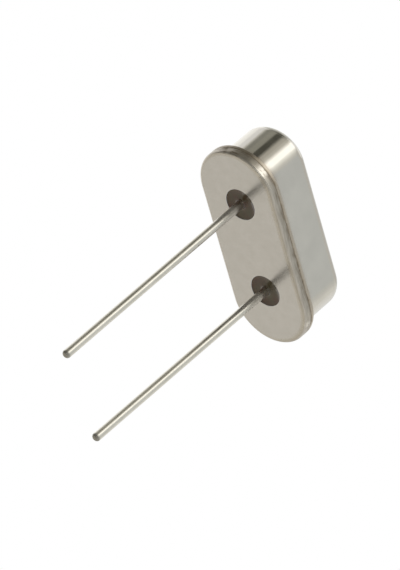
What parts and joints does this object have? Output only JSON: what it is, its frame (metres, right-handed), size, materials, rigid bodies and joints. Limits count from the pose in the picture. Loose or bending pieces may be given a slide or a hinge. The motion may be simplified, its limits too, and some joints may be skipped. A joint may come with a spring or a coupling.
{
  "type": "crystal oscillator",
  "caption": "Quartz crystal resonator in a low, round-ended metal can on a flanged header, with glass-sealed wire leads. It sets the timing of an electronic circuit.",
  "frame": {"origin": "middle of the header's flat underside, halfway between the leads, where the part sits on a board", "axes": "+Z from the underside up through the can, with the leads down along -Z; +X along the row of leads; +Y across the can"},
  "size_m": [0.0108, 0.0044, 0.0173],
  "materials": {
    "can_metal": "satin",
    "base_metal": "satin",
    "seal_glass": "gloss",
    "lead_tin": "polished",
    "clip_metal": "satin",
    "quartz": "gloss",
    "electrode_film": "satin",
    "adhesive": "matte"
  },
  "bodies": {
    "root": {"can": "can_metal", "base": "base_metal", "glass_seal_left": "seal_glass", "glass_seal_right": "seal_glass", "lead_left": "lead_tin", "lead_right": "lead_tin", "support_clip_left": "clip_metal", "support_clip_right": "clip_metal", "quartz_blank": "quartz", "front_electrode": "electrode_film", "back_electrode": "electrode_film", "adhesive_dab_left": "adhesive", "adhesive_dab_right": "adhesive"}
  },
  "joints": []
}
